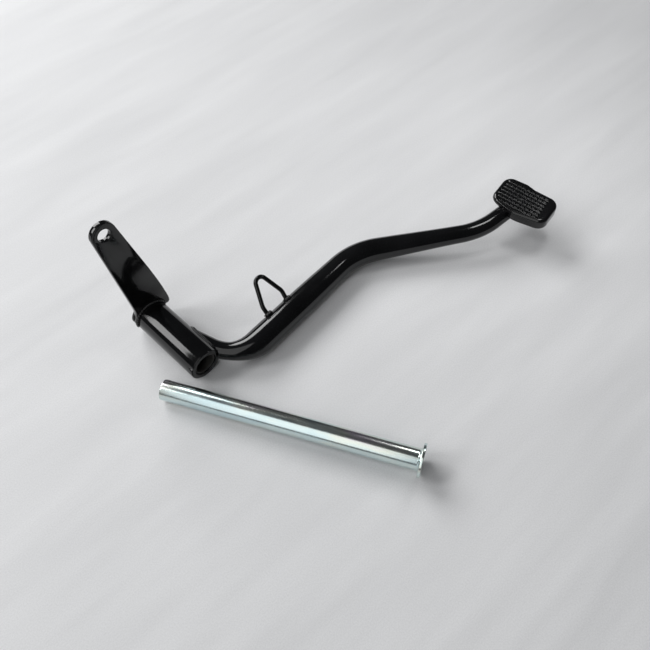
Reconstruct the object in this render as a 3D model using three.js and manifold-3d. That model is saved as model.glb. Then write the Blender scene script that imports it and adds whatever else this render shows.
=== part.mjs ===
// Right-hand rear brake pedal of a motorcycle, with the loose tubular pivot shaft laid beside it.
//
// Millimetres. +X runs forward, from the pivot to the foot pad. +Y runs inboard, along the pivot.
// +Z is up. The pedal lies on its boss and its tube, and the shaft on its flange and its plain end.
// While it is built, the origin is under the middle of the boss. The last lines move the whole
// layout so that the middle of its box is at x = y = 0.

import * as THREE from 'three';
import { mergeVertices } from 'three/addons/utils/BufferGeometryUtils.js';
import Module from 'manifold-3d';

const wasm = await Module();
wasm.setup();

// ---- Driving dimensions ----

const GAP = 0.3; // left between pieces that are welded or pressed together
const ROUND = 40; // sides of the larger round pieces
const SLIVER = 0.03; // thinner leftovers of a cut are dissolved

const BOSS = { radius: 14.25, bore: 10.2, outboard: -37.5, inboard: 38, chamfer: 0.8 };
const BUSH = { bore: 8.58, wall: 1.3, length: 18, inset: 1.2, chamfer: 0.4 };

const LEVER = {
  face: 31.5, // outboard face of the foot of the plate
  thickness: 4.3,
  bendHeight: 37, // above it, the plate leans inboard
  lean: THREE.MathUtils.degToRad(6),
  eye: { x: -9.8, z: 117, radius: 10.4, hole: 5.3, from: Math.PI - 0.07, to: 0.18 },
  rear: [[-11.7, 14], [-11.7, 29]],
  front: [[15.7, 46.8], [18.3, 31], [19.8, 20], [19.5, 15.4], [17.6, 14.1]],
};

// The pedal tube: the corners of its centre line, and the bend radius at each inner corner.
const TUBE = {
  corners: [
    [6.5, 2.5, 14.25],
    [21.1, -52.8, 12.6],
    [166.9, -44, 11.3],
    [257.9, -112.2, 21],
    [311, -119, 25.2],
  ],
  bends: [32.5, 56, 65],
  radii: [[0, 6.7], [0.12, 7.4], [0.2, 11.7], [0.34, 11.7], [0.52, 10.6], [0.84, 7.9], [1, 7.5]],
  wall: 2,
  sides: 20,
  steps: 46,
};

// The pad's outline is a list of [forward, inboard, corner radius] points.
const PAD = {
  outline: [
    [-13.9, 27, 9],
    [-19.2, 2, 12],
    [-14.1, -27, 9],
    [15.5, -27, 9],
    [15.5, -2, 12],
    [17.3, 6.5, 12],
    [15.8, 27, 9],
  ],
  thickness: 2.4,
  wall: 2,
  skirt: 10, // at the outboard end
  skirtInboard: 3,
  skirtKnee: -5, // inboard of it, the skirt gets shallower
  centre: [302.6, -125.1, 36],
  yaw: THREE.MathUtils.degToRad(6.5),
  tilt: THREE.MathUtils.degToRad(6),
};
const PAD_REACH = 30; // further than the outline goes from the pad's centre

// The wire loop stands in a plane that leans inboard, through the centre line of the tube.
const LOOP = {
  wire: 1.9,
  lean: THREE.MathUtils.degToRad(42),
  origin: [0, -41.7, 18.5],
  corners: [[65.2, 0], [65.2, 8.8], [76.4, 40.8], [87.6, 9.8], [86.4, 0]],
  bends: [12, 5.2, 9],
  sides: 12,
  steps: 40,
};

const BEAD = {
  radius: 1.7,
  loopRadius: 2, // at the feet of the wire loop
  steps: 14,
  sides: 10,
  endTaper: 0.12, // square of the end radius over the middle radius
  leverArc: [8, 146, 23], // first and last angle about the boss, and the step, in degrees
  leverStandOff: 0.6,
  tubeLine: [[13.6, -4, 4.2], [13.1, -9, 5.8], [12.5, -17, 6.9], [12.4, -27, 7.1], [13, -35, 5.9]],
  tubeSlope: 1 / 60, // the seams drop with the tube as it goes outboard
  loopHalf: 3.4,
  loopHeight: 2.4,
  padRadius: 1.45, // under the foot pad
  padSpan: [0.96, 0.975, 0.99], // places along the tube
  padAside: 0.8, // of the tube's radius
  padUp: 0.86,
};

const SHAFT = {
  radius: 8.5,
  bore: 6.3,
  length: 210,
  flange: 13.25,
  flangeThickness: 2.3,
  flangeChamfer: 0.3,
  weldLeg: [1.9, 1.6], // out along the flange, and back along the tube
  pinHole: 1.5,
  pinInset: 3.6,
  chamfer: 0.8,
  plainEnd: [-36.7, -27],
  heading: THREE.MathUtils.degToRad(-63.2),
  roll: THREE.MathUtils.degToRad(35),
};

// ---- Solids ----

function bare(geometry) {
  const plain = geometry.index ? geometry.clone() : mergeVertices(geometry);
  plain.deleteAttribute('normal');
  plain.deleteAttribute('uv');
  return mergeVertices(plain);
}

function toSolid(geometry) {
  const plain = bare(geometry);
  const mesh = new wasm.Mesh({
    numProp: 3,
    vertProperties: new Float32Array(plain.attributes.position.array),
    triVerts: new Uint32Array(plain.index.array),
  });
  return new wasm.Manifold(mesh);
}

function toGeometry(solid) {
  const mesh = solid.simplify(SLIVER).getMesh();
  const geometry = new THREE.BufferGeometry();
  geometry.setAttribute('position', new THREE.BufferAttribute(mesh.vertProperties, 3));
  geometry.setIndex(new THREE.BufferAttribute(mesh.triVerts, 1));
  geometry.computeVertexNormals();
  return geometry;
}

// A round solid or ring along +Y, from a profile of [radius, y] points.
function turned(points, sides = ROUND) {
  return new THREE.LatheGeometry(points.map(([r, y]) => new THREE.Vector2(r, y)), sides);
}

function rod(radius, from, to, sides = ROUND) {
  return turned([[0, from], [radius, from], [radius, to], [0, to]], sides);
}

function ring(outer, inner, from, to, chamfer = 0) {
  return turned([
    [inner + chamfer, from],
    [outer - chamfer, from],
    [outer, from + chamfer],
    [outer, to - chamfer],
    [outer - chamfer, to],
    [inner + chamfer, to],
    [inner, to - chamfer],
    [inner, from + chamfer],
    [inner + chamfer, from],
  ].filter(([r, y], i, all) => i === 0 || r !== all[i - 1][0] || y !== all[i - 1][1]));
}

// A smooth line through the corners, with a round bend at each inner one.
function bentLine(corners, bends) {
  const path = new THREE.CurvePath();
  const points = corners.map((corner) => new THREE.Vector3(...corner));
  let start = points[0];
  for (let i = 1; i < points.length - 1; i += 1) {
    const back = points[i - 1].clone().sub(points[i]).normalize();
    const ahead = points[i + 1].clone().sub(points[i]).normalize();
    const turn = Math.PI - back.angleTo(ahead);
    const reach = bends[i - 1] * Math.tan(turn / 2);
    const handle = reach - (4 / 3) * Math.tan(turn / 4) * bends[i - 1];
    const from = points[i].clone().addScaledVector(back, reach);
    const to = points[i].clone().addScaledVector(ahead, reach);
    const near = points[i].clone().addScaledVector(back, handle);
    const far = points[i].clone().addScaledVector(ahead, handle);
    path.add(new THREE.LineCurve3(start, from));
    path.add(new THREE.CubicBezierCurve3(from, near, far, to));
    start = to;
  }
  path.add(new THREE.LineCurve3(start, points.at(-1)));
  return path;
}

// A round section carried along a curve. outer and inner give the radius at 0 to 1 of its length.
function swept(curve, steps, sides, outer, inner = null) {
  const frames = curve.computeFrenetFrames(steps, false);
  const profile = [];
  for (let i = 0; i <= steps; i += 1) {
    profile.push([outer(i / steps), i]);
  }
  if (inner) {
    for (let i = steps; i >= 0; i -= 1) {
      profile.push([inner(i / steps), i]);
    }
    profile.push(profile[0]);
  } else {
    profile.unshift([0, 0]);
    profile.push([0, steps]);
  }
  const geometry = turned(profile, sides);
  const position = geometry.attributes.position;
  for (let k = 0; k < position.count; k += 1) {
    const step = Math.round(position.getY(k));
    const point = curve.getPointAt(step / steps);
    point.addScaledVector(frames.normals[step], position.getX(k));
    point.addScaledVector(frames.binormals[step], -position.getZ(k));
    position.setXYZ(k, point.x, point.y, point.z);
  }
  return geometry;
}

// The value at t on a list of [t, value] points joined by straight lines.
function along(points, t) {
  const i = Math.max(1, points.findIndex(([at]) => at >= t));
  const [[t0, v0], [t1, v1]] = [points[i - 1], points[i]];
  return THREE.MathUtils.mapLinear(t, t0, t1, v0, v1);
}

const group = new THREE.Group();
const pedal = new THREE.Group();
const shaft = new THREE.Group();
group.add(pedal, shaft);

function add(parent, name, geometry, look) {
  const mesh = new THREE.Mesh(geometry, new THREE.MeshStandardMaterial(look));
  mesh.name = name;
  parent.add(mesh);
  return mesh;
}

const BLACK_PAINT = { color: 0x0b0b0c, roughness: 0.16, metalness: 0 };
const ZINC = { color: 0xc9d0d2, roughness: 0.28, metalness: 1 };
const BUSH_POLYMER = { color: 0x2b2a28, roughness: 0.5, metalness: 0 };

// ---- Boss and its bushes ----

function onBossAxis(mesh) {
  mesh.position.z = BOSS.radius;
}

function addBoss() {
  const shell = ring(BOSS.radius, BOSS.bore, BOSS.outboard, BOSS.inboard, BOSS.chamfer);
  onBossAxis(add(pedal, 'pivot_boss', shell, BLACK_PAINT));
  const outer = BUSH.bore + BUSH.wall;
  const ends = {
    outboard: BOSS.outboard + BUSH.inset,
    inboard: BOSS.inboard - BUSH.inset - BUSH.length,
  };
  for (const [side, from] of Object.entries(ends)) {
    const bush = ring(outer, BUSH.bore, from, from + BUSH.length, BUSH.chamfer);
    onBossAxis(add(pedal, `boss_bush_${side}`, bush, BUSH_POLYMER));
  }
}

function bossEnvelope(grow) {
  const solid = rod(BOSS.radius + grow, BOSS.outboard - grow, BOSS.inboard + grow, 2 * ROUND);
  return toSolid(solid.translate(0, 0, BOSS.radius));
}

// ---- Lever arm ----

function leverOutline() {
  const { x, z, radius } = LEVER.eye;
  const shape = new THREE.Shape();
  const [first, ...rear] = LEVER.rear;
  shape.moveTo(...first);
  rear.forEach((point) => shape.lineTo(...point));
  const { from, to } = LEVER.eye;
  shape.lineTo(x + radius * Math.cos(from), z + radius * Math.sin(from));
  shape.absarc(x, z, radius, from, to, true);
  LEVER.front.forEach((point) => shape.lineTo(...point));
  return shape;
}

function leverShift(z) {
  return Math.max(0, z - LEVER.bendHeight) * Math.tan(LEVER.lean);
}

function leverArm() {
  const far = LEVER.face + LEVER.thickness;
  const deep = 2 * far;
  const options = { depth: deep, bevelEnabled: false, curveSegments: ROUND / 2 };
  const front = new THREE.ExtrudeGeometry(leverOutline(), options);
  front.rotateX(Math.PI / 2);
  front.translate(0, deep, 0);
  const top = LEVER.eye.z + 2 * LEVER.eye.radius;
  const side = new THREE.Shape([
    new THREE.Vector2(LEVER.face, 0),
    new THREE.Vector2(far, 0),
    new THREE.Vector2(far, LEVER.bendHeight),
    new THREE.Vector2(far + leverShift(top), top),
    new THREE.Vector2(LEVER.face + leverShift(top), top),
    new THREE.Vector2(LEVER.face, LEVER.bendHeight),
  ]);
  const strip = new THREE.ExtrudeGeometry(side, { depth: deep, bevelEnabled: false });
  strip.applyMatrix4(new THREE.Matrix4().makeBasis(
    new THREE.Vector3(0, 1, 0),
    new THREE.Vector3(0, 0, 1),
    new THREE.Vector3(1, 0, 0),
  ));
  strip.translate(-deep / 2, 0, 0);
  const hole = rod(LEVER.eye.hole, 0, deep).translate(LEVER.eye.x, 0, LEVER.eye.z);
  return toSolid(front).intersect(toSolid(strip)).subtract(toSolid(hole)).subtract(bossEnvelope(GAP));
}

// ---- Pedal tube ----

const tubeLine = bentLine(TUBE.corners, TUBE.bends);
const tubeRadius = (t) => along(TUBE.radii, t);

function tubeEnvelope(grow) {
  return toSolid(swept(tubeLine, TUBE.steps, TUBE.sides, (t) => tubeRadius(t) + grow));
}

function pedalTube() {
  const inner = (t) => tubeRadius(t) - TUBE.wall;
  const tube = toSolid(swept(tubeLine, TUBE.steps, TUBE.sides, tubeRadius, inner));
  return tube.subtract(bossEnvelope(GAP)).subtract(padEnvelope());
}

// ---- Foot pad ----

// The outline of the pad, drawn in by inset, in its own X (forward) and Y (inboard).
function padOutline(inset) {
  const corners = PAD.outline.map(([x, y, radius]) => ({ at: new THREE.Vector2(x, y), radius }));
  const edges = corners.map(({ at }, i) => {
    const next = corners[(i + 1) % corners.length].at;
    const run = next.clone().sub(at).normalize();
    return { at: at.clone().add(new THREE.Vector2(-run.y, run.x).multiplyScalar(inset)), run };
  });
  const shape = new THREE.Shape();
  corners.forEach(({ radius }, i) => {
    const before = edges.at(i - 1);
    const after = edges[i];
    const offset = after.at.clone().sub(before.at);
    const slide = offset.cross(after.run) / before.run.cross(after.run);
    const corner = before.at.clone().addScaledVector(before.run, slide);
    const turn = Math.abs(Math.asin(before.run.cross(after.run)));
    const reach = (radius - inset) * Math.tan(turn / 2);
    const start = corner.clone().addScaledVector(before.run, -reach);
    const end = corner.clone().addScaledVector(after.run, reach);
    const handle = reach - (4 / 3) * Math.tan(turn / 4) * (radius - inset);
    const near = corner.clone().addScaledVector(before.run, -handle);
    const far = corner.clone().addScaledVector(after.run, handle);
    if (i === 0) {
      shape.moveTo(start.x, start.y);
    } else {
      shape.lineTo(start.x, start.y);
    }
    shape.bezierCurveTo(near.x, near.y, far.x, far.y, end.x, end.y);
  });
  shape.closePath();
  return shape;
}

function padSlab(inset, bottom, top) {
  const options = { depth: top - bottom, bevelEnabled: false, curveSegments: 8 };
  return new THREE.ExtrudeGeometry(padOutline(inset), options).translate(0, 0, bottom);
}

function placePad(geometry) {
  const turn = new THREE.Euler(0, -PAD.tilt, PAD.yaw, 'ZYX');
  return geometry.applyMatrix4(new THREE.Matrix4().makeRotationFromEuler(turn)).translate(...PAD.centre);
}

function padEnvelope() {
  return toSolid(placePad(padSlab(0, -PAD.thickness - GAP, GAP)));
}

function footPad() {
  const cup = toSolid(padSlab(0, -PAD.skirt, 0));
  const hollow = toSolid(padSlab(PAD.wall, -PAD.skirt - 1, -PAD.thickness));
  const low = -2 * PAD.skirt;
  const waste = new THREE.Shape([
    new THREE.Vector2(PAD.skirtKnee, low),
    new THREE.Vector2(PAD_REACH, low),
    new THREE.Vector2(PAD_REACH, -PAD.skirtInboard),
    new THREE.Vector2(PAD.skirtKnee, -PAD.skirt),
  ]);
  const slope = new THREE.ExtrudeGeometry(waste, { depth: 2 * PAD_REACH, bevelEnabled: false });
  slope.applyMatrix4(new THREE.Matrix4().makeBasis(
    new THREE.Vector3(0, 1, 0),
    new THREE.Vector3(0, 0, 1),
    new THREE.Vector3(1, 0, 0),
  ));
  slope.translate(-PAD_REACH, 0, 0);
  const pressed = toGeometry(cup.subtract(hollow).subtract(toSolid(slope)));
  const skirtNotch = tubeEnvelope(GAP).subtract(padEnvelope());
  return toSolid(placePad(pressed)).subtract(skirtNotch);
}

// ---- Wire loop ----

function loopPoint([x, height]) {
  const [, y, z] = LOOP.origin;
  return [x, y + height * Math.cos(LOOP.lean), z + height * Math.sin(LOOP.lean)];
}

const loopLine = bentLine(LOOP.corners.map(loopPoint), LOOP.bends);

function loopEnvelope(grow) {
  return toSolid(swept(loopLine, LOOP.steps, LOOP.sides, () => LOOP.wire + grow));
}

function wireLoop() {
  return loopEnvelope(0).subtract(tubeEnvelope(GAP));
}

// ---- Weld beads ----

// A bead along a line of points, trimmed back from the pieces that it joins.
function bead(points, radius, cutters) {
  const line = new THREE.CatmullRomCurve3(points.map((point) => new THREE.Vector3(...point)));
  const rounded = (t) => radius * Math.sqrt(Math.max(BEAD.endTaper, 1 - (2 * t - 1) ** 8));
  let solid = toSolid(swept(line, BEAD.steps, BEAD.sides, rounded));
  cutters.forEach((cutter) => {
    solid = solid.subtract(cutter);
  });
  return solid;
}

function leverBead(y) {
  const points = [];
  const [first, last, step] = BEAD.leverArc;
  for (let degrees = first; degrees <= last; degrees += step) {
    const angle = THREE.MathUtils.degToRad(degrees);
    const reach = BOSS.radius + BEAD.leverStandOff;
    points.push([reach * Math.cos(angle), y, BOSS.radius + reach * Math.sin(angle)]);
  }
  const plate = new THREE.BoxGeometry(4 * BOSS.radius, LEVER.thickness + 2 * GAP, 4 * BOSS.radius);
  plate.translate(0, LEVER.face + LEVER.thickness / 2, BOSS.radius);
  return bead(points, BEAD.radius, [bossEnvelope(GAP), toSolid(plate)]);
}

function tubeBead(side) {
  const points = BEAD.tubeLine.map(([x, y, up]) => [x, y, BOSS.radius + side * up + BEAD.tubeSlope * y]);
  return bead(points, BEAD.radius, [bossEnvelope(GAP), tubeEnvelope(GAP)]);
}

function loopBead(x) {
  const [, y, z] = loopPoint([x, BEAD.loopHeight]);
  const half = BEAD.loopHalf;
  const points = [[x - half, y - 0.4, z + 0.6], [x, y - 1.2, z + 1.2], [x + half, y - 0.4, z + 0.6]];
  return bead(points, BEAD.loopRadius, [tubeEnvelope(GAP), loopEnvelope(GAP)]);
}

function padBead(side) {
  const points = BEAD.padSpan.map((t) => {
    const at = tubeLine.getPointAt(t);
    const aside = side * tubeRadius(t) * BEAD.padAside;
    return [at.x, at.y + aside, at.z + tubeRadius(t) * BEAD.padUp];
  });
  return bead(points, BEAD.padRadius, [tubeEnvelope(GAP)]);
}

// ---- Pivot shaft ----

function addShaft() {
  const { radius, bore, length, chamfer } = SHAFT;
  const barrel = toSolid(ring(radius, bore, 0, length, chamfer));
  const pin = rod(SHAFT.pinHole, -2 * radius, 2 * radius, ROUND / 2);
  pin.rotateZ(Math.PI / 2);
  pin.translate(0, SHAFT.pinInset, 0);
  add(shaft, 'shaft_tube', toGeometry(barrel.subtract(toSolid(pin))), ZINC);

  const flangeFrom = length - SHAFT.flangeThickness;
  const flange = ring(SHAFT.flange, radius + GAP, flangeFrom, length, SHAFT.flangeChamfer);
  add(shaft, 'shaft_flange', flange, ZINC);

  const seat = flangeFrom - GAP;
  const [out, back] = SHAFT.weldLeg;
  const inner = radius + GAP;
  const fillet = turned([[inner, seat - back], [radius + out, seat], [inner, seat], [inner, seat - back]]);
  add(shaft, 'flange_weld', fillet, ZINC);

  const rise = Math.atan((SHAFT.flange - radius) / flangeFrom);
  const level = Math.cos(rise);
  const direction = new THREE.Vector3(
    Math.cos(SHAFT.heading) * level,
    Math.sin(SHAFT.heading) * level,
    Math.sin(rise),
  );
  shaft.quaternion.setFromUnitVectors(new THREE.Vector3(0, 1, 0), direction);
  shaft.quaternion.multiply(new THREE.Quaternion().setFromAxisAngle(new THREE.Vector3(0, 1, 0), SHAFT.roll));
  shaft.position.set(...SHAFT.plainEnd, radius * level);
}

// ---- Assembly ----

addBoss();
add(pedal, 'lever_arm', toGeometry(leverArm()), BLACK_PAINT);
add(pedal, 'lever_weld_outboard', toGeometry(leverBead(LEVER.face - 0.6)), BLACK_PAINT);
add(pedal, 'lever_weld_inboard', toGeometry(leverBead(LEVER.face + LEVER.thickness + 0.6)), BLACK_PAINT);
add(pedal, 'pedal_tube', toGeometry(pedalTube()), BLACK_PAINT);
add(pedal, 'tube_weld_upper', toGeometry(tubeBead(1)), BLACK_PAINT);
add(pedal, 'tube_weld_lower', toGeometry(tubeBead(-1)), BLACK_PAINT);
add(pedal, 'foot_pad', toGeometry(footPad()), BLACK_PAINT);
add(pedal, 'pad_weld_inboard', toGeometry(padBead(1)), BLACK_PAINT);
add(pedal, 'pad_weld_outboard', toGeometry(padBead(-1)), BLACK_PAINT);
add(pedal, 'spring_loop', toGeometry(wireLoop()), BLACK_PAINT);
add(pedal, 'loop_weld_rear', toGeometry(loopBead(LOOP.corners[0][0])), BLACK_PAINT);
add(pedal, 'loop_weld_front', toGeometry(loopBead(LOOP.corners.at(-1)[0])), BLACK_PAINT);
addShaft();

group.updateMatrixWorld(true);
const box = new THREE.Box3().setFromObject(group, true);
const middle = box.getCenter(new THREE.Vector3());
group.position.set(-middle.x, -middle.y, -box.min.z);

export default group;
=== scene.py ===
import math

import bmesh
import bpy
from mathutils import Matrix, Vector


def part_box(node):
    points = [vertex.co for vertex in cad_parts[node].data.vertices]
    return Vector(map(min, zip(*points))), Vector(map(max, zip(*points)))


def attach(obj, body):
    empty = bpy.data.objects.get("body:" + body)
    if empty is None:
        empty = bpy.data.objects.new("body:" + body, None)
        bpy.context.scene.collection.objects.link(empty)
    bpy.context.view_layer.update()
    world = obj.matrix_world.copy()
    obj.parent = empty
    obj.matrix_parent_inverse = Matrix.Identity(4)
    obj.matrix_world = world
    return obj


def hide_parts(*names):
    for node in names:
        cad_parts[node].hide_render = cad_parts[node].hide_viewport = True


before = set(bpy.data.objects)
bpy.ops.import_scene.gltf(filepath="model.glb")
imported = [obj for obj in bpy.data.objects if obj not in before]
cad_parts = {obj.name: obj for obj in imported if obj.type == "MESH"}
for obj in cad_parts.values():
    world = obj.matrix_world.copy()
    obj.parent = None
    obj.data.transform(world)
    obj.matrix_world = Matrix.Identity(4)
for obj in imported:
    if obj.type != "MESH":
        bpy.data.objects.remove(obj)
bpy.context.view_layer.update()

# ---- Places. Shapes are in millimetres: X to the pad, Y inboard, Z up from the table. ----
# The origin is on the table under the boss's axis, a quarter millimetre from the boss's middle.
MM = 0.001
BOSS_RADIUS, BOSS_OUTBOARD, BOSS_INBOARD = 14.25, -37.5, 38.0
BOSS_LOW, BOSS_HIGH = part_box("pivot_boss")
ORIGIN = Vector((
    (BOSS_LOW[0] + BOSS_HIGH[0]) / 2,
    (BOSS_LOW[1] + BOSS_HIGH[1]) / 2 - (BOSS_OUTBOARD + BOSS_INBOARD) / 2 * MM,
    0,
))


def place(x, y, z):
    return ORIGIN + Vector((x, y, z)) * MM


# ---- Mesh helpers ----
MERGE = 1e-7  # metres


def smoothstep(a, b, x):
    t = max(0.0, min(1.0, (x - a) / (b - a)))
    return t * t * (3 - 2 * t)


def ramp(points, t):
    """A smooth value at t on a list of (t, value) points."""
    for (t0, v0), (t1, v1) in zip(points, points[1:]):
        if t <= t1:
            return v0 + (v1 - v0) * smoothstep(t0, t1, t)
    return points[-1][1]


def spread(first, last, steps):
    """Evenly spaced values from first to last."""
    return [first + (last - first) * k / steps for k in range(steps + 1)]


def arc(x, z, radius, angles):
    return [(x + radius * math.cos(a), z + radius * math.sin(a)) for a in angles]


def face_outwards(mesh, merge=None):
    """Turns every face outwards, after merging points closer than merge."""
    bm = bmesh.new()
    bm.from_mesh(mesh)
    if merge:
        bmesh.ops.remove_doubles(bm, verts=bm.verts, dist=merge)
    bmesh.ops.recalc_face_normals(bm, faces=bm.faces)
    bm.to_mesh(mesh)
    bm.free()


def mesh_object(name, verts, faces, material, body, node, sharp=None):
    mesh = bpy.data.meshes.new(name)
    mesh.from_pydata([place(*v) for v in verts], [], faces)
    return finish_piece(name, mesh, material, body, node, sharp)


def finish_piece(name, mesh, material, body, node, sharp=None):
    face_outwards(mesh, merge=MERGE)
    mesh.shade_smooth()
    if sharp is not None:
        mesh.set_sharp_from_angle(angle=math.radians(sharp))
    mesh.materials.append(material)
    piece = bpy.data.objects.new(name, mesh)
    bpy.context.scene.collection.objects.link(piece)
    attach(piece, body)
    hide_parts(node)
    return piece


def grid_faces(rows, columns, close_rows=False):
    """Faces between rows of points, each row a closed ring."""
    faces = []
    for a in range(rows if close_rows else rows - 1):
        for c in range(columns):
            b, d = (a + 1) % rows, (c + 1) % columns
            faces.append((a * columns + c, a * columns + d, b * columns + d, b * columns + c))
    return faces


def fan(verts, faces, ring, columns, tip):
    """Closes a ring of a grid with triangles that meet at tip."""
    verts.append(tuple(tip))
    for k in range(columns):
        faces.append((ring * columns + k, ring * columns + (k + 1) % columns, len(verts) - 1))


def lathe(profile, sides, closed=True):
    """Points and faces of a profile of (radius, y) turned about +Y."""
    verts = []
    for radius, y in profile:
        for k in range(sides):
            angle = 2 * math.pi * k / sides
            verts.append((radius * math.cos(angle), y, radius * math.sin(angle)))
    return verts, grid_faces(len(profile), sides, close_rows=closed)


def rod(radius, start, end, sides):
    """A closed cylinder along Y."""
    verts, faces = lathe([(radius, start), (radius, end)], sides, closed=False)
    return verts, faces + [tuple(range(sides)), tuple(range(sides, 2 * sides))]


def rounded(profile, radius, steps=4):
    """A closed (radius, y) profile with each corner rounded."""
    out = []
    count = len(profile)
    for i in range(count):
        before, at, after = (Vector(profile[(i + k) % count]) for k in (-1, 0, 1))
        a, b = before - at, after - at
        reach = min(radius, a.length / 2.2, b.length / 2.2)  # so neighbouring corners stay apart
        start = at + a.normalized() * reach
        end = at + b.normalized() * reach
        for k in range(steps + 1):
            t = k / steps
            point = start.lerp(at, t).lerp(at.lerp(end, t), t)
            out.append((point.x, point.y))
    return out


def ring_profile(outer, inner, start, end, edge):
    return rounded([(inner, start), (outer, start), (outer, end), (inner, end)], edge)


def bezier(points, t):
    while len(points) > 1:
        points = [a.lerp(b, t) for a, b in zip(points, points[1:])]
    return points[0]


def round_corner(before, at, after, radius, steps):
    """A corner's round bend, as points on one Bezier curve."""
    back, ahead = (before - at).normalized(), (after - at).normalized()
    turn = math.pi - back.angle(ahead)
    reach = radius * math.tan(turn / 2)
    handle = reach - 4 / 3 * math.tan(turn / 4) * radius
    control = [at + back * reach, at + back * handle, at + ahead * handle, at + ahead * reach]
    return [bezier(control, k / steps) for k in range(steps + 1)]


def bent_line(corners, bends, count):
    """Evenly spaced points on straight runs joined by bends of the given radii."""
    corners = [Vector(c) for c in corners]
    dense = [corners[0]]
    for before, at, after, radius in zip(corners, corners[1:], corners[2:], bends):
        dense += round_corner(before, at, after, radius, 40)
    dense.append(corners[-1])
    return resample(dense, count)


def resample(points, count):
    """Evenly spaced points along a line of given ones."""
    lengths = [0.0]
    for a, b in zip(points, points[1:]):
        lengths.append(lengths[-1] + (b - a).length)
    out = []
    i = 0
    for k in range(count):
        at = lengths[-1] * k / (count - 1)
        while i < len(points) - 2 and lengths[i + 1] < at:
            i += 1
        step = lengths[i + 1] - lengths[i]
        out.append(points[i].lerp(points[i + 1], (at - lengths[i]) / step if step else 0))
    return out


def spline(points, count):
    """Evenly spaced points on a smooth line through the given ones."""
    p = [Vector(q) for q in points]
    p = [p[0] * 2 - p[1]] + p + [p[-1] * 2 - p[-2]]
    dense = []
    for i in range(1, len(p) - 2):
        for k in range(16):
            t = k / 16
            a, b, c, d = p[i - 1], p[i], p[i + 1], p[i + 2]
            dense.append(0.5 * (2 * b + (c - a) * t + (2 * a - 5 * b + 4 * c - d) * t * t
                                + (3 * b - a - 3 * c + d) * t ** 3))
    dense.append(p[-2])
    return resample(dense, count)


def frames(points, up):
    """(side, up, ahead) of a section at each point, turning as little as it can."""
    out = []
    normal = Vector(up)
    for i in range(len(points)):
        ahead = (points[min(i + 1, len(points) - 1)] - points[max(i - 1, 0)]).normalized()
        normal = (normal - ahead * normal.dot(ahead)).normalized()
        out.append((ahead.cross(normal), normal, ahead))
    return out


def sweep(points, radius, sides, up=(0, 0, 1), wall=None, cap=0.0):
    """A round section carried along points. radius is a function of the share of the way and the
    angle. With wall it is a tube, and otherwise its ends are domes that stand out by cap."""
    placed = frames(points, up)
    last = len(points) - 1

    def section(i, scale=1.0, inset=0.0, slide=0.0):
        side, normal, ahead = placed[i]
        ring = []
        for k in range(sides):
            angle = 2 * math.pi * k / sides
            outward = side * math.cos(angle) + normal * math.sin(angle)
            ring.append(points[i] + ahead * slide
                        + outward * (radius(i / last, angle) * scale - inset))
        return ring

    if wall:
        sections = [section(i) for i in range(last + 1)]
        sections += [section(i, inset=wall) for i in range(last, -1, -1)]
        verts = [tuple(v) for ring in sections for v in ring]
        return verts, grid_faces(len(sections), sides, close_rows=True)
    dome = [k / 3.3 for k in (1, 2, 3)]  # its rings stop a little short of its tip
    sections = [section(0, math.sqrt(1 - s * s), slide=-cap * s) for s in reversed(dome)]
    sections += [section(i) for i in range(last + 1)]
    sections += [section(last, math.sqrt(1 - s * s), slide=cap * s) for s in dome]
    verts = [tuple(v) for ring in sections for v in ring]
    faces = grid_faces(len(sections), sides)
    fan(verts, faces, 0, sides, points[0] - placed[0][2] * cap)
    fan(verts, faces, len(sections) - 1, sides, points[-1] + placed[-1][2] * cap)
    return verts, faces


def cut(piece, verts, faces, sharp=35):
    """Takes a closed solid away from a piece, and applies the result."""
    mesh = bpy.data.meshes.new("cutter")
    mesh.from_pydata([place(*v) for v in verts], [], faces)
    face_outwards(mesh)
    cutter = bpy.data.objects.new("cutter", mesh)
    bpy.context.scene.collection.objects.link(cutter)
    modifier = piece.modifiers.new("cut", "BOOLEAN")
    modifier.operation = "DIFFERENCE"
    modifier.solver = "EXACT"
    modifier.object = cutter
    bpy.context.view_layer.update()
    graph = bpy.context.evaluated_depsgraph_get()
    result = bpy.data.meshes.new_from_object(piece.evaluated_get(graph))
    piece.modifiers.remove(modifier)
    result.shade_smooth()
    result.set_sharp_from_angle(angle=math.radians(sharp))
    piece.data = result
    bpy.data.objects.remove(cutter)


# ---- Materials ----

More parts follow.
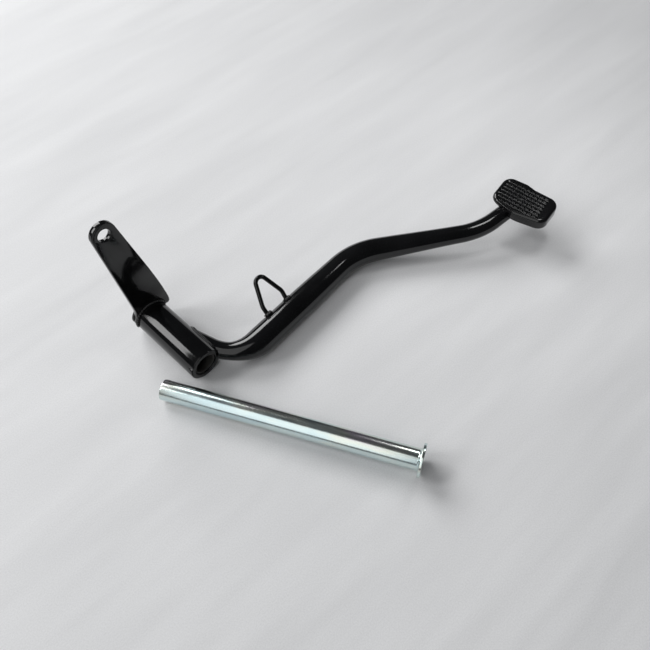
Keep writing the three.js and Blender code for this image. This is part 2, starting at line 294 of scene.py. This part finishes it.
class Nodes:
    """Builds a material's nodes one line at a time."""

    def __init__(self, name):
        self.material = bpy.data.materials.new(name)
        self.material.use_nodes = True
        self.tree = self.material.node_tree
        self.shader = self.tree.nodes["Principled BSDF"]
        self.place = self.node("ShaderNodeTexCoord").outputs["Object"]

    def node(self, kind, **values):
        made = self.tree.nodes.new(kind)
        for key, value in values.items():
            if hasattr(made, key):
                setattr(made, key, value)
            else:
                made.inputs[key].default_value = value
        return made

    def link(self, source, target):
        self.tree.links.new(source, target)

    def noise(self, scale, detail=3.0, rough=0.5, stretch=None):
        """Noise on the piece's own place. stretch is the turn and the scale that draw it out."""
        made = self.node("ShaderNodeTexNoise", Scale=scale, Detail=detail, Roughness=rough)
        source = self.place
        if stretch:
            mapping = self.node("ShaderNodeMapping", vector_type="TEXTURE")
            mapping.inputs["Rotation"].default_value = stretch[0]
            mapping.inputs["Scale"].default_value = stretch[1]
            self.link(source, mapping.inputs["Vector"])
            source = mapping.outputs["Vector"]
        self.link(source, made.inputs["Vector"])
        return made.outputs["Fac"]

    def ramp(self, source, stops):
        """A colour or grey at each stop of a value."""
        made = self.node("ShaderNodeValToRGB")
        band = made.color_ramp
        while len(band.elements) < len(stops):
            band.elements.new(0.5)
        for element, (at, colour) in zip(band.elements, stops):
            element.position = at
            rgb = colour if isinstance(colour, tuple) else (colour,) * 3
            element.color = (*rgb, 1)
        self.link(source, made.inputs["Fac"])
        return made.outputs["Color"]

    def bump(self, source, strength, distance, below=None):
        made = self.node("ShaderNodeBump", Strength=strength, Distance=distance)
        self.link(source, made.inputs["Height"])
        if below:
            self.link(below, made.inputs["Normal"])
        return made.outputs["Normal"]

    def mix(self, kind, a, b, share):
        made = self.node("ShaderNodeMix", data_type="RGBA", blend_type=kind)
        for socket, value in zip(("Factor", "A", "B"), (share, a, b)):
            kept = "VALUE" if socket == "Factor" else "RGBA"
            target = next(s for s in made.inputs if s.name == socket and s.type == kept)
            if hasattr(value, "links"):
                self.link(value, target)
            else:
                target.default_value = value
        return next(s for s in made.outputs if s.type == "RGBA")


def black_paint(name, grain=0.05, shine=0.07):
    """Glossy paint with dust and peel. shine is its least roughness."""
    n = Nodes(name)
    s = n.shader.inputs
    base = n.ramp(n.noise(38, 4), [
        (0.35, (0.0030, 0.0031, 0.0034)),
        (0.7, (0.0058, 0.0060, 0.0066)),
    ])
    fine = n.noise(2600, 1, 0.4)
    specks = n.ramp(fine, [(0.71, 0.0), (0.76, 1.0)])
    n.link(n.mix("MIX", base, (0.03, 0.03, 0.03, 1), specks), s["Base Color"])
    n.link(n.ramp(n.noise(95, 5, 0.6), [(0.3, shine), (0.75, shine + 0.06)]), s["Roughness"])
    s["Specular IOR Level"].default_value = 0.36
    s["Coat Weight"].default_value = 0.2
    s["Coat Roughness"].default_value = 0.03
    peel = n.bump(n.noise(420, 2, 0.4), grain, 0.0002)
    n.link(n.bump(fine, grain * 0.6, 0.00004, peel), s["Normal"])
    return n.material


def zinc_plate(axis_turn):
    """Zinc with drawing marks along the axis and a faint play of colour."""
    n = Nodes("zinc plate")
    s = n.shader.inputs
    s["Metallic"].default_value = 1.0
    drawn = n.noise(900, 3, 0.55, (axis_turn, (1.0, 14.0, 1.0)))
    cloud = n.noise(70, 3, 0.5, (axis_turn, (1.0, 5.0, 1.0)))
    tint = n.ramp(cloud, [
        (0.34, (0.60, 0.74, 0.77)),
        (0.46, (0.68, 0.80, 0.80)),
        (0.56, (0.76, 0.81, 0.74)),
        (0.66, (0.78, 0.72, 0.81)),
    ])
    marks = n.ramp(drawn, [(0.3, 0.88), (0.7, 1.0)])
    n.link(n.mix("MULTIPLY", tint, marks, 0.7), s["Base Color"])
    n.link(n.ramp(drawn, [(0.25, 0.18), (0.75, 0.27)]), s["Roughness"])
    n.link(n.bump(drawn, 0.05, 0.00005), s["Normal"])
    return n.material


def bush_polymer():
    n = Nodes("bush polymer")
    s = n.shader.inputs
    colour = n.ramp(n.noise(300, 3), [(0.3, (0.03, 0.029, 0.027)), (0.7, (0.05, 0.048, 0.045))])
    n.link(colour, s["Base Color"])
    n.link(n.ramp(n.noise(700, 3), [(0.3, 0.42), (0.7, 0.58)]), s["Roughness"])
    n.link(n.bump(n.noise(1500, 2), 0.15, 0.0001), s["Normal"])
    return n.material


def pale_cloth():
    """A pale cloth with broad soft folds along X and a fine weave. Its colour carries painted
    shade: darker in the folds' troughs, lighter on their crests.
    """
    n = Nodes("pale cloth")
    s = n.shader.inputs
    broad = n.noise(26, 2, 0.45, ((0, 0, math.radians(-4)), (5.0, 1.0, 1.0)))
    fine = n.noise(900, 2, 0.6)
    # Painted shade: the colour follows the folds' height, darker in the troughs and lighter on the
    # crests.
    colour = n.ramp(broad, [(0.3, (0.74, 0.745, 0.755)), (0.7, (0.80, 0.805, 0.815))])
    weave = n.ramp(fine, [(0.3, 0.88), (0.7, 1.0)])
    n.link(n.mix("MULTIPLY", colour, weave, 0.8), s["Base Color"])
    n.link(n.ramp(fine, [(0.3, 0.62), (0.7, 0.8)]), s["Roughness"])
    s["Specular IOR Level"].default_value = 0.2
    soft = n.bump(broad, 0.35, 0.004)
    n.link(n.bump(fine, 0.25, 0.0002, soft), s["Normal"])
    return n.material


PAINT = black_paint("black paint")
PAD_PAINT = black_paint("black paint on the pad", shine=0.08)
WELD_PAINT = black_paint("black paint on welds", grain=0.12, shine=0.10)
POLYMER = bush_polymer()

# ---- Boss and bushes ----
BOSS_BORE, BOSS_EDGE = 10.2, 0.9
BUSH_RADIUS, BUSH_BORE, BUSH_LONG, BUSH_EDGE = 10.0, 8.58, 18, 0.45
BUSH_STARTS = {"outboard": -36.3, "inboard": 18.8}


def on_axis(verts):
    return [(x, y, z + BOSS_RADIUS) for x, y, z in verts]


profile = ring_profile(BOSS_RADIUS, BOSS_BORE, BOSS_OUTBOARD, BOSS_INBOARD, BOSS_EDGE)
verts, faces = lathe(profile, 128)
mesh_object("boss_shell", on_axis(verts), faces, PAINT, "pedal", "pivot_boss", 50)
for side, start in BUSH_STARTS.items():
    profile = ring_profile(BUSH_RADIUS, BUSH_BORE, start, start + BUSH_LONG, BUSH_EDGE)
    verts, faces = lathe(profile, 96)
    mesh_object(f"bush_{side}", on_axis(verts), faces, POLYMER,
                "pedal", f"boss_bush_{side}", 50)

# ---- Lever plate ----
FACE, THICK = 31.5, 4.3
BEND, BEND_SOFT = 37.0, 4.0
LEAN = math.radians(6)
EYE_X, EYE_Z, EYE_R, EYE_HOLE = -9.8, 117.0, 10.4, 5.3
LEVER_EDGE = 0.75
LEVER_SEAT = BOSS_RADIUS - 0.25
LEVER_REAR = [(-14.8, 15.6), (-13.2, 21.5), (-12.0, 29.0)]
LEVER_FRONT = [
    (12.0, 66.0), (15.7, 46.8), (18.3, 31.0), (19.8, 20.0), (19.5, 15.4), (17.6, 14.3),
]


def lever_lean(z):
    """How far the plate has moved inboard at height z, with a pressed bend instead of a crease."""
    if z < BEND - BEND_SOFT:
        return 0.0
    if z > BEND + BEND_SOFT:
        return (z - BEND) * math.tan(LEAN)
    return (z - BEND + BEND_SOFT) ** 2 / (4 * BEND_SOFT) * math.tan(LEAN)


def lever_outline():
    """The plate's border from the boss up its rear edge, round the eye and down its front."""
    outline = arc(0, BOSS_RADIUS, LEVER_SEAT, [math.radians(a) for a in spread(4, 176, 14)])
    outline += LEVER_REAR
    outline += arc(EYE_X, EYE_Z, EYE_R, spread(math.pi - 0.07, 0.18, 28))
    return outline + [tuple(p)[:2] for p in spline([(x, z, 0) for x, z in LEVER_FRONT], 22)]


def is_rim(edge):
    """Whether an edge runs round a face of the plate, and not across its thickness."""
    across = abs(edge.verts[0].co.y - edge.verts[1].co.y) > 1
    return (len(edge.link_faces) == 2 and not across
            and edge.calc_face_angle(0) > math.radians(60))


def lever_plate():
    hole = arc(EYE_X, EYE_Z, EYE_HOLE, spread(0, 2 * math.pi, 40)[:-1])
    bm = bmesh.new()
    loops = [[bm.verts.new((x, FACE, z)) for x, z in border] for border in (lever_outline(), hole)]
    edges = [bm.edges.new(pair) for loop in loops for pair in zip(loop, loop[1:] + loop[:1])]
    filled = bmesh.ops.triangle_fill(bm, edges=edges, use_beauty=True)
    flat = [f for f in filled["geom"] if isinstance(f, bmesh.types.BMFace)]
    raised = bmesh.ops.extrude_face_region(bm, geom=flat)
    moved = [v for v in raised["geom"] if isinstance(v, bmesh.types.BMVert)]
    bmesh.ops.translate(bm, verts=moved, vec=(0, THICK, 0))
    bmesh.ops.recalc_face_normals(bm, faces=bm.faces)
    bmesh.ops.bevel(bm, geom=[e for e in bm.edges if is_rim(e)], offset=LEVER_EDGE, segments=3,
                    profile=0.5, affect="EDGES", clamp_overlap=True)
    for z in spread(BEND - BEND_SOFT, BEND + BEND_SOFT, 8):
        bmesh.ops.bisect_plane(bm, geom=bm.verts[:] + bm.edges[:] + bm.faces[:],
                               plane_co=(0, 0, z), plane_no=(0, 0, 1))
    for v in bm.verts:
        v.co.y += lever_lean(v.co.z)
        v.co = place(*v.co)
    mesh = bpy.data.meshes.new("lever_plate")
    bm.to_mesh(mesh)
    bm.free()
    finish_piece("lever_plate", mesh, PAINT, "pedal", "lever_arm", 32)


lever_plate()

# ---- Pedal tube ----
TUBE_CORNERS = [
    (6.5, 2.5, 14.25), (21.1, -52.8, 12.6), (166.9, -44, 11.3), (257.9, -112.2, 21),
    (311, -119, 25.2),
]
TUBE_BENDS = [32.5, 56, 65]
# The outside radius at each share of the way from the boss to the pad.
TUBE_RADII = [
    (0, 6.7), (0.12, 7.4), (0.21, 11.62), (0.34, 11.62), (0.52, 10.55), (0.84, 7.85), (1, 7.45),
]
TUBE_WALL = 2.0
TUBE_LINE = bent_line(TUBE_CORNERS, TUBE_BENDS, 260)


def tube_radius(t, angle=0.0):
    return ramp(TUBE_RADII, t)


verts, faces = sweep(TUBE_LINE, tube_radius, 64, wall=TUBE_WALL)
tube = mesh_object("pedal_tube_skin", verts, faces, PAINT, "pedal", "pedal_tube")
# The tube's root ends just inside the boss's wall, so it doesn't reach into the bore.
verts, faces = rod(BOSS_RADIUS - 0.6, BOSS_OUTBOARD - 1, 60, 96)
cut(tube, on_axis(verts), faces)

# ---- Foot pad ----
PAD_CENTRE = Vector((302.6, -125.1, 36.0))
PAD_TURN = Matrix.Rotation(math.radians(6.5), 3, "Z") @ Matrix.Rotation(math.radians(-6), 3, "Y")
# Corners of the pad as (x, y, radius).
PAD_OUTLINE = [
    (-13.9, 27, 9), (-19.2, 2, 12), (-14.1, -27, 9), (15.5, -27, 9), (15.5, -2, 12),
    (17.3, 6.5, 12), (15.8, 27, 9),
]
PAD_POINTS, TREAD_RINGS = 420, 60
PAD_FILLET, PAD_WALL, PAD_PLATE = 3.0, 2.0, 2.4
# The skirt's lower edge as (distance in from the outside, height over the lowest point).
SKIRT_EDGE = [(0.0, 0.2), (0.1, 0.08), (0.35, 0.0), (1.65, 0.0), (1.9, 0.08), (2.0, 0.2)]
PAD_FIT = 0.9985  # keeps the pad's skin inside the CAD box
TREAD_PITCH = (3.8, 4.5)
TREAD_MIDDLE = (-0.6, 2.0)
TREAD_HEIGHT = 0.75


def pad_outline(count):
    """Points round the pad, each with the direction inwards."""
    dense = []
    size = len(PAD_OUTLINE)
    for i in range(size):
        before, at, after = (Vector(PAD_OUTLINE[(i + k) % size][:2]) for k in (-1, 0, 1))
        dense += round_corner(before, at, after, PAD_OUTLINE[i][2], 24)
    dense.append(dense[0].copy())
    points = resample(dense, count + 1)[:-1]
    out = []
    for i, p in enumerate(points):
        run = (points[(i + 1) % count] - points[i - 1]).normalized()
        inward = Vector((-run.y, run.x))
        if inward.dot(-p) < 0:
            inward = -inward
        out.append((p, inward))
    return out


def tread(x, y):
    """Height of the raised blocks at a place on the pad. Blocks at two corners are left out."""
    from_x, from_y = x - TREAD_MIDDLE[0], y - TREAD_MIDDLE[1]
    row = round(from_x / TREAD_PITCH[0])
    column = round(from_y / TREAD_PITCH[1])
    if not (-3 <= row <= 3 and -4 <= column <= 5):
        return 0.0
    if (row == -3 and column > 3) or (row == 3 and column > 4):
        return 0.0
    dx = abs(from_x - row * TREAD_PITCH[0])
    dy = abs(from_y - column * TREAD_PITCH[1])
    return TREAD_HEIGHT * (1 - smoothstep(0.8, 1.35, dx)) * (1 - smoothstep(1.4, 1.95, dy))


def skirt_drop(y):
    """How far the rim of the skirt is below the tread."""
    return max(PAD_FILLET + 0.3, 10.0 - 7.0 * smoothstep(-5, 27, y))


def foot_pad():
    edge = pad_outline(PAD_POINTS)
    rims = [(p, inward, -skirt_drop(p.y)) for p, inward in edge]
    rings = []
    for k in range(1, TREAD_RINGS):
        shrunk = [p * (k / TREAD_RINGS) * 0.86 for p, _ in edge]
        rings.append([(q.x, q.y, tread(q.x, q.y)) for q in shrunk])
    for angle in spread(0, math.pi / 2, 8):
        inset, drop = PAD_FILLET * (1 - math.sin(angle)), PAD_FILLET * (1 - math.cos(angle))
        rings.append([(*(p + inward * inset), -drop) for p, inward in edge])
    for share in (0.35, 0.7, 0.93):
        rings.append([(*p, -PAD_FILLET + (z + PAD_FILLET) * share) for p, _, z in rims])
    for inset, lift in SKIRT_EDGE:
        rings.append([(*(p + inward * inset), z + lift) for p, inward, z in rims])
    # The inside: up the skirt, round into the plate's underside and across it.
    rings.append([(*(p + inward * PAD_WALL), -PAD_PLATE - 0.35) for p, inward in edge])
    rings.append([(*(p + inward * (PAD_WALL + 0.6)), -PAD_PLATE) for p, inward in edge])
    rings.append([(*(p * 0.5), -PAD_PLATE) for p, _ in edge])
    verts = [tuple(PAD_CENTRE + PAD_TURN @ (Vector(v) * PAD_FIT)) for ring in rings for v in ring]
    faces = grid_faces(len(rings), PAD_POINTS)
    for ring, z in ((0, tread(0, 0)), (len(rings) - 1, -PAD_PLATE)):
        fan(verts, faces, ring, PAD_POINTS, PAD_CENTRE + PAD_TURN @ Vector((0, 0, z)))
    mesh_object("pad_shell", verts, faces, PAD_PAINT, "pedal", "foot_pad")


foot_pad()

# ---- Wire loop ----
LOOP_LEAN = math.radians(42)
LOOP_WIRE = 1.88
LOOP_REAR, LOOP_FRONT = 65.2, 86.4
# Corners as (x, distance up the leaning loop from where it meets the tube).
LOOP_CORNERS = [
    (LOOP_REAR, -1.5), (LOOP_REAR, 8.8), (76.4, 40.8), (LOOP_FRONT + 1.2, 9.8), (LOOP_FRONT, -1.5),
]
LOOP_BENDS = [12, 5.2, 9]


def loop_point(x, height):
    return (x, -41.7 + height * math.cos(LOOP_LEAN), 18.5 + height * math.sin(LOOP_LEAN))


loop_line = bent_line([loop_point(*c) for c in LOOP_CORNERS], LOOP_BENDS, 120)
verts, faces = sweep(loop_line, lambda t, angle: LOOP_WIRE, 28, up=(0, -0.7, 0.7), cap=0.6)
mesh_object("wire_loop", verts, faces, PAINT, "pedal", "spring_loop")

# ---- Weld beads ----


def bead(name, points, radius, node, pitch=1.5, lump=0.16):
    """A rope of weld along points, with a ripple every pitch that thins it by the share lump."""
    rough_length = sum((Vector(b) - Vector(a)).length for a, b in zip(points, points[1:]))
    line = spline(points, max(40, int(rough_length * 5)))
    length = sum((b - a).length for a, b in zip(line, line[1:]))

    def size(t, angle):
        ripple = (t * length / pitch + 0.12 * math.sin(angle * 2)) % 1.0
        wave = 1 - lump * (ripple - 0.5) ** 2 * 4 + 0.05 * math.sin(9.1 * t + 2 * angle)
        ends = math.sqrt(max(0.2, 1 - (2 * t - 1) ** 10))
        return radius * wave * ends

    verts, faces = sweep(line, size, 20, cap=radius * 0.45)
    mesh_object(name, verts, faces, WELD_PAINT, "pedal", node)


def lever_seam(y, first, last):
    """Points round the boss beside the lever, between two angles in degrees."""
    angles = [math.radians(a) for a in spread(first, last, 14)]
    return [(x, y, z) for x, z in arc(0, BOSS_RADIUS, BOSS_RADIUS + 0.5, angles)]


bead("weld_lever_outboard", lever_seam(FACE - 0.5, 8, 186), 1.6, "lever_weld_outboard",
     pitch=2.4, lump=0.4)
bead("weld_lever_inboard", lever_seam(FACE + THICK + 0.5, 8, 172), 1.45, "lever_weld_inboard")

# The tube's root seam as (x, y, height over or under the boss's axis).
ROOT_SEAM = [(13.6, -4, 4.2), (13.1, -9, 5.8), (12.5, -17, 6.9), (12.4, -27, 7.1), (13, -35, 5.9)]
for name, sign in (("upper", 1), ("lower", -1)):
    seam = [(x, y, BOSS_RADIUS + sign * off + y / 60) for x, y, off in ROOT_SEAM]
    bead(f"weld_tube_{name}", seam, 1.7, f"tube_weld_{name}")

# A loop weld's points, from the middle of the wire at the weld's height.
LOOP_SEAM = [(-3.2, -1.2, 1.2), (-0.4, -3.0, 2.3), (3.2, -1.4, 1.4)]
for name, foot_x in (("rear", LOOP_REAR), ("front", LOOP_FRONT)):
    foot = loop_point(foot_x, 2.4)
    seam = [tuple(a + b for a, b in zip(foot, step)) for step in LOOP_SEAM]
    bead(f"weld_loop_{name}", seam, 1.9, f"loop_weld_{name}", pitch=1.9, lump=0.3)

PAD_SEAM = (0.95, 0.965, 0.98, 0.99)  # shares of the way along the tube
for name, sign in (("inboard", 1), ("outboard", -1)):
    seam = []
    for t in PAD_SEAM:
        at = TUBE_LINE[round(t * (len(TUBE_LINE) - 1))]
        seam.append((at.x, at.y + sign * tube_radius(t) * 0.8, at.z + tube_radius(t) * 0.86))
    bead(f"weld_pad_{name}", seam, 1.5, f"pad_weld_{name}")

# ---- Shaft ----
SHAFT_R, SHAFT_BORE, SHAFT_LONG, FLANGE_R, FLANGE_T = 8.5, 6.3, 210.0, 13.25, 2.3
PIN_R, PIN_INSET, PIN_ROLL = 1.5, 3.6, math.radians(35)
# It lies on its plain end and on the flange's rim, so its axis rises to the flange.
RISE = math.atan((FLANGE_R - SHAFT_R) / (SHAFT_LONG - FLANGE_T))
HEADING = math.radians(-63.2)
SHAFT_AXIS = Vector((
    math.cos(HEADING) * math.cos(RISE),
    math.sin(HEADING) * math.cos(RISE),
    math.sin(RISE),
))
SHAFT_START = Vector((-36.7, -27, SHAFT_R * math.cos(RISE)))
SHAFT_TURN = (Vector((0, 1, 0)).rotation_difference(SHAFT_AXIS).to_matrix()
              @ Matrix.Rotation(PIN_ROLL, 3, "Y"))
ZINC = zinc_plate(tuple(SHAFT_TURN.to_euler()))
FLANGE_SEAT = SHAFT_LONG - FLANGE_T
# The weld fillet's section as (distance out of the shaft's surface, distance past the seat).
FILLET = [
    (-0.3, 0.1), (-0.3, -1.6), (0.05, -1.7), (0.45, -0.95), (1.1, -0.35), (1.9, -0.02), (1.9, 0.1),
]


def on_shaft(verts):
    return [tuple(SHAFT_START + SHAFT_TURN @ Vector(v)) for v in verts]


def shaft_piece(name, profile, node, sharp):
    verts, faces = lathe(profile, 128)
    return mesh_object(name, on_shaft(verts), faces, ZINC, "shaft", node, sharp)


barrel = shaft_piece(
    "shaft_barrel", ring_profile(SHAFT_R - 0.03, SHAFT_BORE, 0.15, SHAFT_LONG, 1.0),
    "shaft_tube", 50)
verts, faces = rod(PIN_R, -20, 20, 40)
cut(barrel, on_shaft([(y, x + PIN_INSET, z) for x, y, z in verts]), faces)
shaft_piece(
    "shaft_rim", ring_profile(FLANGE_R, SHAFT_R - 0.1, FLANGE_SEAT, SHAFT_LONG, 0.5),
    "shaft_flange", 50)
shaft_piece(
    "shaft_fillet", [(SHAFT_R + out, FLANGE_SEAT + along) for out, along in FILLET],
    "flange_weld", 40)

# ---- Floor ----
FLOOR_HALF = 1600
FLOOR_CORNERS = [(-1, -1), (1, -1), (1, 1), (-1, 1)]
mesh = bpy.data.meshes.new("floor")
mesh.from_pydata([place(x * FLOOR_HALF, y * FLOOR_HALF, 0) for x, y in FLOOR_CORNERS],
                 [], [(0, 1, 2, 3)])
mesh.materials.append(pale_cloth())
floor = bpy.data.objects.new("floor", mesh)
bpy.context.scene.collection.objects.link(floor)

# ---- Light ----


def soft_light(name, towards, distance, long_side, size, radiance, target=(60, -60, 15)):
    """A soft box in the direction towards, seen from target. size is in metres, with the first
    side along long_side, and distance is in metres too."""
    data = bpy.data.lights.new(name, "AREA")
    data.shape = "RECTANGLE"
    data.size, data.size_y = size
    data.energy = math.pi * size[0] * size[1] * radiance
    lamp = bpy.data.objects.new(name, data)
    back = Vector(towards).normalized()
    across = Vector(long_side)
    across = (across - back * across.dot(back)).normalized()
    turn = Matrix((across, back.cross(across), back)).transposed()
    lamp.matrix_world = Matrix.Translation(place(*target) + back * distance) @ turn.to_4x4()
    lamp.visible_camera = False
    bpy.context.scene.collection.objects.link(lamp)


soft_light("window", towards=(-0.57, 0.51, 0.645), distance=2.2, long_side=(-1, 0, -1),
           size=(1.3, 0.6), radiance=6.6, target=(0, 0, 20))
soft_light("far_side", towards=(0.05, 0.80, 0.59), distance=2.4, long_side=(1, 0, 0),
           size=(1.6, 1.1), radiance=8.0)
soft_light("wall", towards=(-0.67, -0.12, 0.73), distance=2.6, long_side=(-0.893, -0.451, -0.9),
           size=(3.5, 1.9), radiance=1.2, target=(10, -120, 9))
soft_light("lamp", towards=(0.38, 0.03, 0.92), distance=0.3, long_side=(0.9, -0.5, 0),
           size=(0.07, 0.08), radiance=9.0, target=(258, -111, 29))

world = bpy.data.worlds.new("studio")
world.use_nodes = True
sky = world.node_tree.nodes["Background"].inputs
sky["Color"].default_value = (0.92, 0.95, 1.0, 1)
sky["Strength"].default_value = 0.05
bpy.context.scene.world = world

# ---- Camera ----
CAMERA_PLACE = place(-140.1, -304.6, 513.3)
CAMERA_TARGET = place(99.7, -73.1, 0)
camera_data = bpy.data.cameras.new("camera")
camera_data.lens = 39.88
camera_data.sensor_width = 36
camera_data.clip_end = 20
camera = bpy.data.objects.new("camera", camera_data)
camera.location = CAMERA_PLACE
camera.rotation_euler = (CAMERA_TARGET - camera.location).to_track_quat("-Z", "Y").to_euler()
bpy.context.scene.collection.objects.link(camera)
bpy.context.scene.camera = camera
bpy.context.scene.view_settings.view_transform = "Standard"
